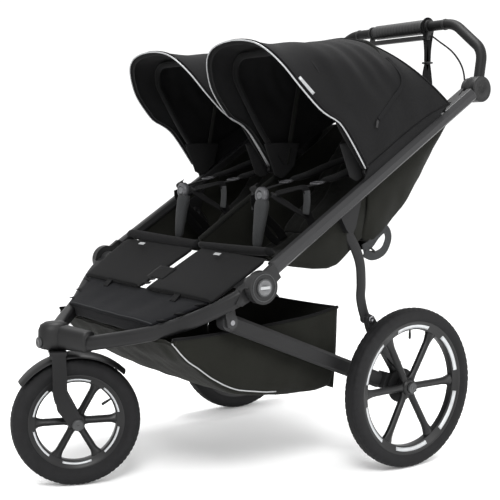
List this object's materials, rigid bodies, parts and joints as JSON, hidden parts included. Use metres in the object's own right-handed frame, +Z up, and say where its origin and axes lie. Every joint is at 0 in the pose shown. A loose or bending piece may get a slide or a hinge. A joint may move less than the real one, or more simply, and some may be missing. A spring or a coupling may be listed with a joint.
{
  "type": "jogging stroller",
  "caption": "Side-by-side double jogging stroller with a swivelling front wheel, twin hoods, reclining seats and a folding frame.",
  "frame": {"origin": "on the ground, in the middle plane, under the rear axle", "axes": "+Z up, +X towards the stroller's left side, -Y the way it faces"},
  "size_m": [0.795, 1.2462, 1.1684],
  "materials": {
    "frame_coat": "satin dark charcoal powder coat",
    "moulding": "fine textured black plastic",
    "grip": "grained black grip cover",
    "canopy_cloth": "dark charcoal woven",
    "seat_cloth": "charcoal woven with a warm green cast",
    "pad_cloth": "padded charcoal melange",
    "webbing": "black webbing",
    "tyre": "dark rubber",
    "rim": "black moulded",
    "pin_steel": "dark steel"
  },
  "bodies": {
    "seat_frame": {"fold_caps": "moulding", "seat_frame_pins": "pin_steel", "strut_brackets": "frame_coat", "seat_crossbar": "frame_coat", "seat_sides": "seat_cloth", "canopy_pivots": "pin_steel", "main_tube_left": "frame_coat", "fold_housing_left": "moulding", "handle_hub_left": "moulding", "seat_base_left": "seat_cloth", "calf_pad_left": "pad_cloth", "harness_buckle_left": "moulding", "canopy_left": "canopy_cloth", "main_tube_right": "frame_coat", "fold_housing_right": "moulding", "handle_hub_right": "moulding", "seat_base_right": "seat_cloth", "calf_pad_right": "pad_cloth", "harness_buckle_right": "moulding", "canopy_right": "canopy_cloth"},
    "front_frame": {"front_tube_left": "frame_coat", "front_tube_right": "frame_coat", "front_crown": "moulding", "foot_tray": "seat_cloth"},
    "swivel_lock": {"swivel_lock_knob": "moulding"},
    "caster": {"caster_fork": "frame_coat", "steering_stem": "pin_steel", "front_fender": "moulding", "front_axle": "pin_steel"},
    "front_wheel": {"front_tyre": "tyre", "front_rim": "rim", "front_hub": "pin_steel"},
    "rear_frame": {"rear_axle": "pin_steel", "rear_frame_pins": "pin_steel", "basket": "seat_cloth", "lower_tube_left": "frame_coat", "rear_leg_left": "frame_coat", "brake_plate_left": "moulding", "lower_tube_right": "frame_coat", "rear_leg_right": "frame_coat", "brake_plate_right": "moulding"},
    "struts": {"fold_struts": "frame_coat"},
    "handlebar": {"handle_frame": "frame_coat", "lever_bracket": "moulding"},
    "twist_grip": {"twist_grip": "grip"},
    "brake_lever": {"brake_lever": "moulding"},
    "rear_wheel_left": {"rear_tyre_left": "tyre", "rear_rim_left": "rim", "rear_hub_left": "pin_steel"},
    "brake_arm_left": {"brake_arm_left": "moulding"},
    "seat_back_left": {"seat_back_left": "seat_cloth"},
    "canopy_bow_left": {"canopy_bow_left": "frame_coat"},
    "buckle_button_left": {"buckle_button_left": "moulding"},
    "rear_wheel_right": {"rear_tyre_right": "tyre", "rear_rim_right": "rim", "rear_hub_right": "pin_steel"},
    "brake_arm_right": {"brake_arm_right": "moulding"},
    "seat_back_right": {"seat_back_right": "seat_cloth"},
    "canopy_bow_right": {"canopy_bow_right": "frame_coat"},
    "buckle_button_right": {"buckle_button_right": "moulding"}
  },
  "joints": [
    {"name": "fold", "type": "hinge", "parent": "seat_frame", "child": "front_frame", "pos_m": [0, -0.462, 0.492], "axis": [1, 0, 0], "range_deg": [0, 90], "deforming": ["basket"]},
    {"name": "rear_frame_fold", "type": "hinge", "parent": "front_frame", "child": "rear_frame", "pos_m": [0, -0.515, 0.411], "axis": [1, 0, 0], "range_deg": [-80, 0]},
    {"name": "strut_fold", "type": "hinge", "parent": "seat_frame", "child": "struts", "pos_m": [0, -0.184, 0.615], "axis": [1, 0, 0], "range_deg": [0, 45]},
    {"name": "caster_swivel", "type": "hinge", "parent": "front_frame", "child": "caster", "pos_m": [0, -0.791, 0.35], "axis": [0, 0, 1], "continuous": true},
    {"name": "front_wheel_spin", "type": "hinge", "parent": "caster", "child": "front_wheel", "pos_m": [0.01541, -0.75086, 0.154], "axis": [0.9336, -0.3584, 0], "continuous": true},
    {"name": "swivel_lock_turn", "type": "hinge", "parent": "front_frame", "child": "swivel_lock", "pos_m": [0, -0.829, 0.35], "axis": [0, 1, 0], "range_deg": [0, 90]},
    {"name": "handlebar_tilt", "type": "hinge", "parent": "seat_frame", "child": "handlebar", "pos_m": [0, 0.263, 0.961], "axis": [1, 0, 0], "range_deg": [-90, 0]},
    {"name": "twist_grip_turn", "type": "hinge", "parent": "handlebar", "child": "twist_grip", "pos_m": [0, 0.31321, 1.14839], "axis": [1, 0, 0], "range_deg": [-40, 0]},
    {"name": "brake_squeeze", "type": "hinge", "parent": "handlebar", "child": "brake_lever", "pos_m": [0, 0.30521, 1.11539], "axis": [-1, 0, 0], "range_deg": [0, 18]},
    {"name": "rear_wheel_spin_left", "type": "hinge", "parent": "rear_frame", "child": "rear_wheel_left", "pos_m": [0.374, 0, 0.203], "axis": [1, 0, 0], "continuous": true},
    {"name": "brake_arm_pull_left", "type": "hinge", "parent": "rear_frame", "child": "brake_arm_left", "pos_m": [0.341, 0.01, 0.173], "axis": [1, 0, 0], "range_deg": [0, 18]},
    {"name": "seat_recline_left", "type": "hinge", "parent": "seat_frame", "child": "seat_back_left", "pos_m": [0.168, -0.136, 0.568], "axis": [-1, 0, 0], "range_deg": [0, 22]},
    {"name": "canopy_fold_left", "type": "hinge", "parent": "seat_frame", "child": "canopy_bow_left", "pos_m": [0.192, -0.135, 0.749], "axis": [-1, 0, 0], "range_deg": [0, 65], "deforming": ["canopy_left"]},
    {"name": "buckle_press_left", "type": "slide", "parent": "seat_frame", "child": "buckle_button_left", "axis": [0, 1, 0], "range_m": [0, 0.0025]},
    {"name": "rear_wheel_spin_right", "type": "hinge", "parent": "rear_frame", "child": "rear_wheel_right", "pos_m": [-0.374, 0, 0.203], "axis": [1, 0, 0], "continuous": true},
    {"name": "brake_arm_pull_right", "type": "hinge", "parent": "rear_frame", "child": "brake_arm_right", "pos_m": [-0.341, 0.01, 0.173], "axis": [1, 0, 0], "range_deg": [0, 18]},
    {"name": "seat_recline_right", "type": "hinge", "parent": "seat_frame", "child": "seat_back_right", "pos_m": [-0.168, -0.136, 0.568], "axis": [-1, 0, 0], "range_deg": [0, 22]},
    {"name": "canopy_fold_right", "type": "hinge", "parent": "seat_frame", "child": "canopy_bow_right", "pos_m": [-0.192, -0.135, 0.749], "axis": [-1, 0, 0], "range_deg": [0, 65], "deforming": ["canopy_right"]},
    {"name": "buckle_press_right", "type": "slide", "parent": "seat_frame", "child": "buckle_button_right", "axis": [0, 1, 0], "range_m": [0, 0.0025]}
  ],
  "couplings": [
    {"joint": "rear_frame_fold", "follows": "fold", "ratio": -0.88},
    {"joint": "strut_fold", "follows": "fold", "ratio": 0.45},
    {"joint": "brake_arm_pull_left", "follows": "brake_squeeze", "ratio": 1},
    {"joint": "brake_arm_pull_right", "follows": "brake_squeeze", "ratio": 1}
  ]
}
